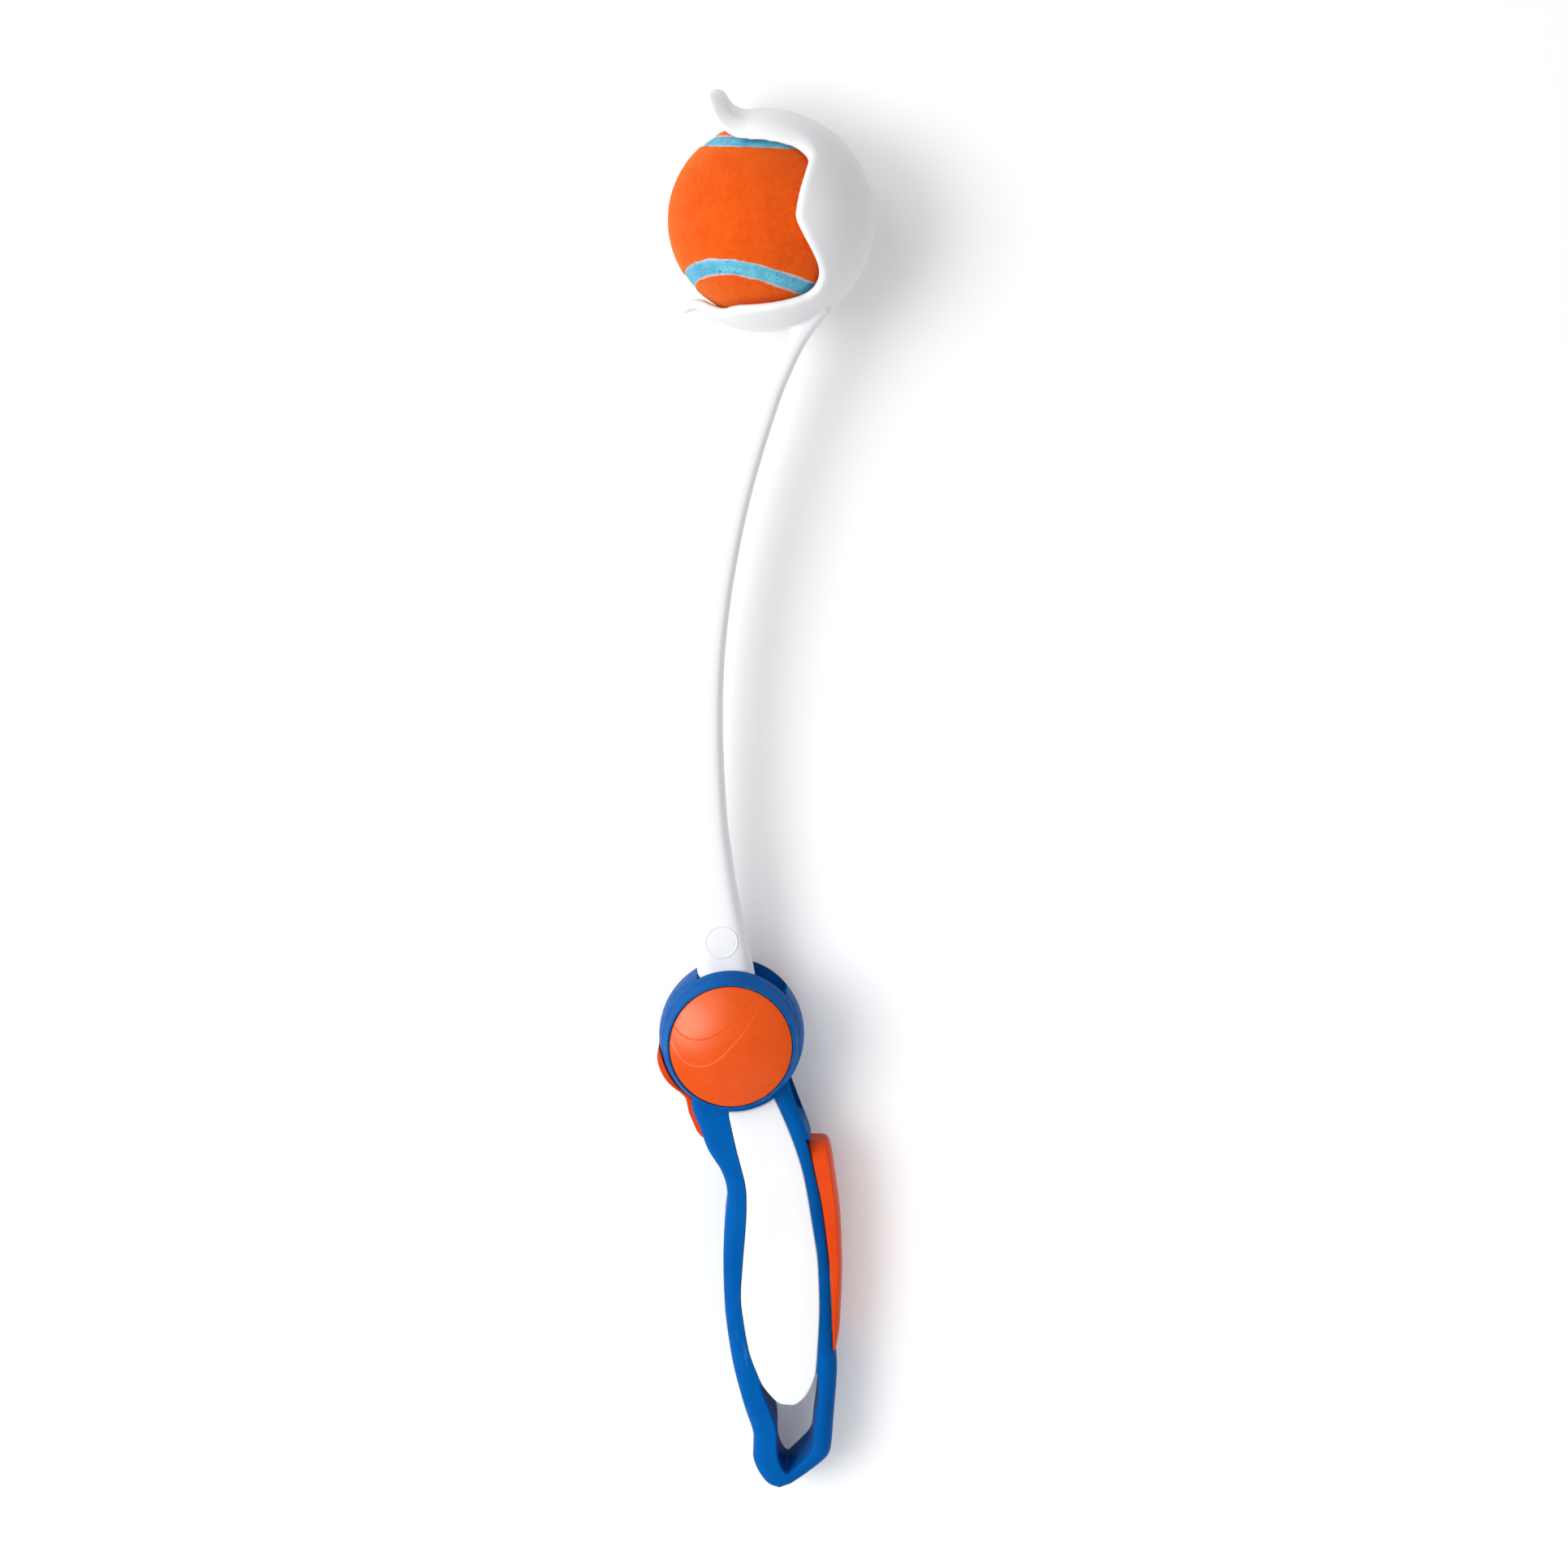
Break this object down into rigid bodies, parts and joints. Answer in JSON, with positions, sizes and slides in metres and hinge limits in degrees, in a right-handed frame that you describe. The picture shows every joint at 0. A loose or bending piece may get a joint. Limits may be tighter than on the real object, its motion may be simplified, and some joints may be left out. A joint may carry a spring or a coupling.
{
  "type": "dog ball thrower",
  "caption": "Folding dog ball thrower: a curved moulded arm with a ball cup, locked to a hub on a hollow handle with inlays, a belt clip and a hanging loop, with a felted ball in the cup.",
  "frame": {"origin": "middle of the bounding box's base, where the thrower lies with its throwing plane flat", "axes": "+Y along the thrower from the handle to the ball, +Z out of the front face, along the fold axis, +X from the cup's mouth to its back"},
  "size_m": [0.0734, 0.4782, 0.0698],
  "materials": {
    "white_plastic": "satin injection-moulded plastic",
    "blue_plastic": "satin injection-moulded plastic",
    "orange_plastic": "satin injection-moulded plastic",
    "orange_felt": "short needle felt",
    "seam_rubber": "rough vulcanised seam",
    "core_rubber": "dull natural rubber",
    "steel": "zinc-plated",
    "nylon": "natural nylon"
  },
  "bodies": {
    "handle": {"handle_front_shell": "blue_plastic", "handle_rear_shell": "blue_plastic", "front_panel": "white_plastic", "rear_panel": "white_plastic", "front_cap": "orange_plastic", "rear_cap": "orange_plastic", "fold_axle": "steel", "fold_nut": "steel", "spring_washer": "steel", "handle_screw_1": "steel", "handle_screw_2": "steel", "handle_screw_3": "steel", "handle_screw_4": "steel", "lever_pin": "steel", "lever_spring": "steel"},
    "arm": {"throwing_arm": "white_plastic", "pivot_barrel": "blue_plastic", "thrust_washer_front": "nylon", "thrust_washer_rear": "nylon"},
    "ball": {"ball_felt_a": "orange_felt", "ball_felt_b": "orange_felt", "ball_seam": "seam_rubber", "ball_core_left": "core_rubber", "ball_core_right": "core_rubber"},
    "lever": {"lock_lever": "orange_plastic"},
    "clip": {"belt_clip": "orange_plastic"}
  },
  "joints": [
    {"name": "arm_fold", "type": "hinge", "parent": "handle", "child": "arm", "pos_m": [-0.01128, -0.07895, 0.03488], "axis": [0, 0, -1], "range_deg": [0, 130]},
    {"name": "ball_roll", "type": "hinge", "parent": "arm", "child": "ball", "pos_m": [0.00022, 0.19612, 0.03488], "axis": [0, 0, 1], "continuous": true},
    {"name": "lever_press", "type": "hinge", "parent": "handle", "child": "lever", "pos_m": [-0.02187, -0.10541, 0.03488], "axis": [0, 0, 1], "range_deg": [0, 8], "stiffness_Nm_per_rad": 0.3, "springref_deg": -8.59, "deforming": ["lever_spring"]},
    {"name": "clip_flex", "type": "hinge", "parent": "handle", "child": "clip", "pos_m": [0.02097, -0.18847, 0.03488], "axis": [0, 0, -1], "range_deg": [0, 6], "stiffness_Nm_per_rad": 1.4, "springref_deg": -2.86}
  ]
}
